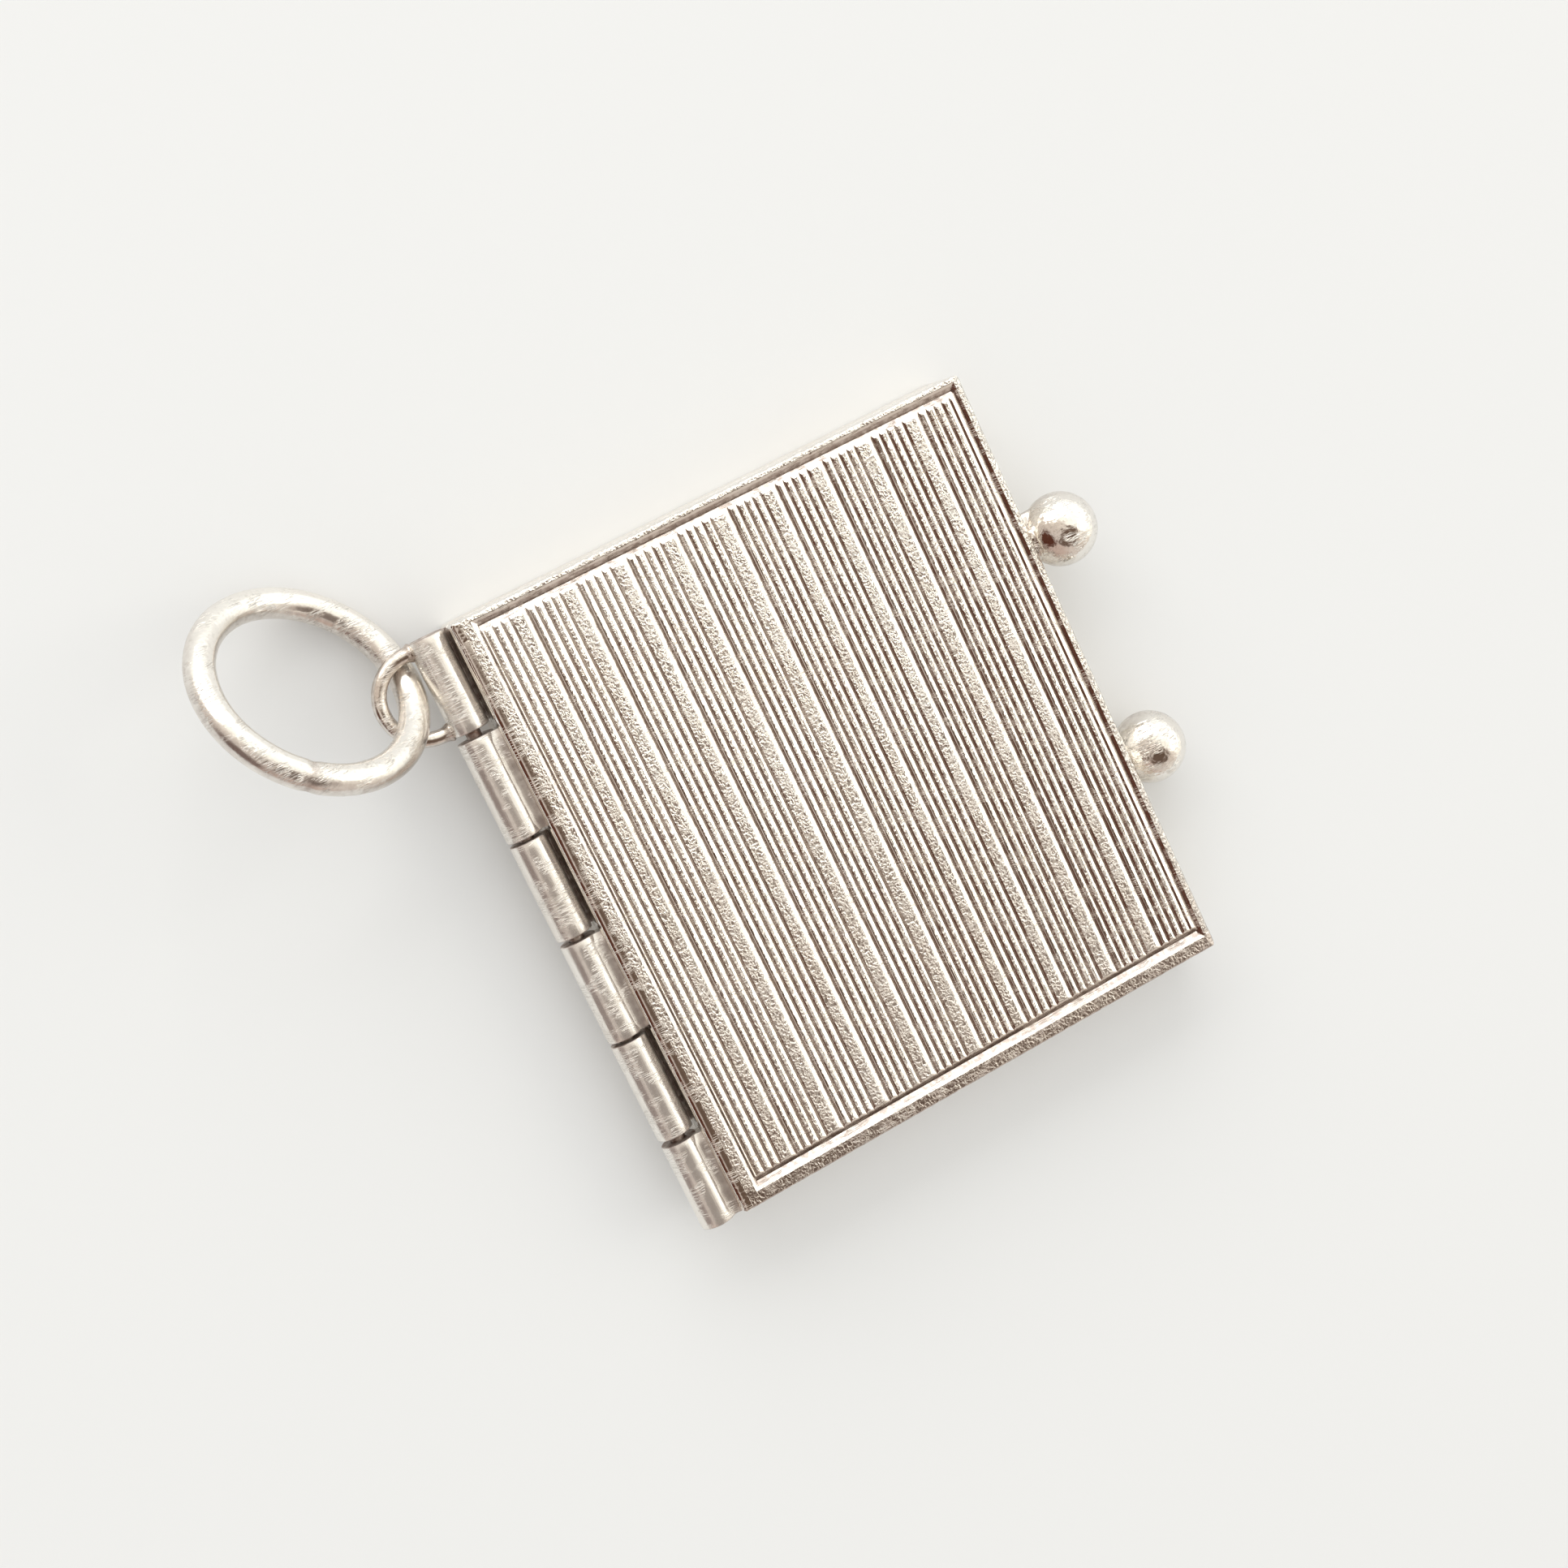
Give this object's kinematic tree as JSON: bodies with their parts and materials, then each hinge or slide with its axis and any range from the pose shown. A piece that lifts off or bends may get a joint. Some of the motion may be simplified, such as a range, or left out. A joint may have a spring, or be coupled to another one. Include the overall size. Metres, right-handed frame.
{
  "type": "book locket",
  "caption": "Book-shaped silver locket: a ribbed front cover hinged along the spine to a plain back cover, with thumb balls at the fore edge and a wire loop holding a jump ring.",
  "frame": {"origin": "middle of the back cover's flat outer face", "axes": "+X from the spine towards the fore edge with the thumb balls, +Y up the book towards the end with the loop, +Z out through the front cover"},
  "size_m": [0.0349, 0.0299, 0.007],
  "materials": {
    "cover_silver": "polished silver, worn, with fine scratches and light tarnish in the grooves",
    "ring_silver": "bright polished silver wire with a soldered seam",
    "pin_wire": "drawn wire"
  },
  "bodies": {
    "base": {"back_cover": "cover_silver", "hinge_pin": "pin_wire", "jump_ring": "ring_silver"},
    "cover": {"front_cover": "cover_silver"}
  },
  "joints": [
    {"name": "cover_hinge", "type": "hinge", "parent": "base", "child": "cover", "pos_m": [-0.01195, 0, 0.0022], "axis": [0, -1, 0], "range_deg": [0, 95]}
  ]
}
